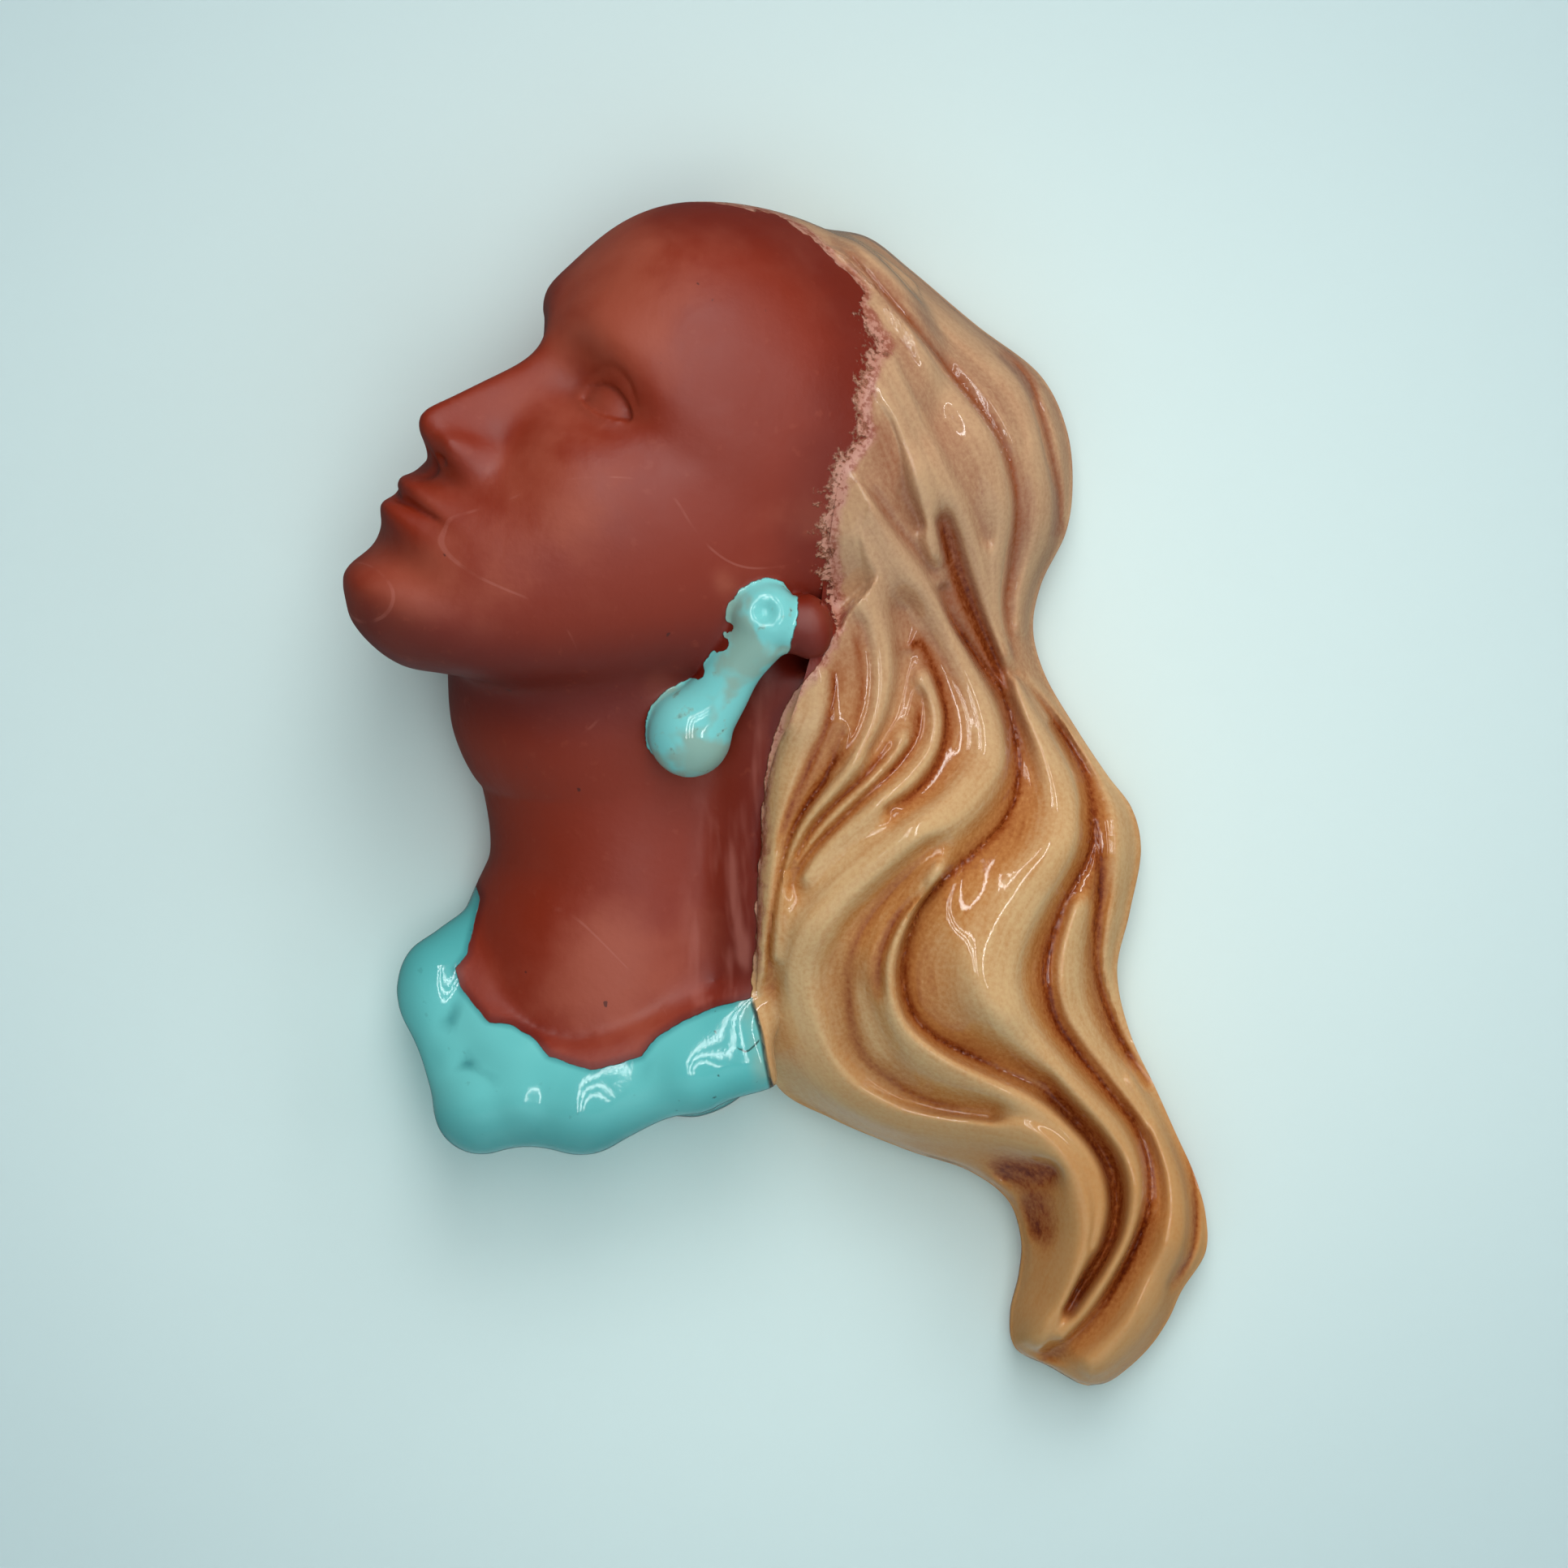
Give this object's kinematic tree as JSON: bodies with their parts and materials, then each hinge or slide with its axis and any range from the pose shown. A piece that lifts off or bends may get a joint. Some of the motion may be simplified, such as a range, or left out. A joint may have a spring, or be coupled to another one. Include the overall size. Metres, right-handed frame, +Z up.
{
  "type": "wall mask",
  "caption": "Hollow slip-cast wall mask of a head thrown back, with long wavy hair, a drop earring and a rolled collar, open behind.",
  "frame": {"origin": "on the flat back of the hanging web, which lies on the wall, just above the nail hole", "axes": "+Z up the wall, +Y into the wall, so the mask stands out towards -Y; +X to the viewer's right"},
  "size_m": [0.1958, 0.0737, 0.2693],
  "materials": {
    "terracotta": "bare satin terracotta on face and neck, glossy caramel glaze on the hair, glossy turquoise glaze on collar and earring"
  },
  "bodies": {
    "root": {"wall_mask": "terracotta"}
  },
  "joints": []
}
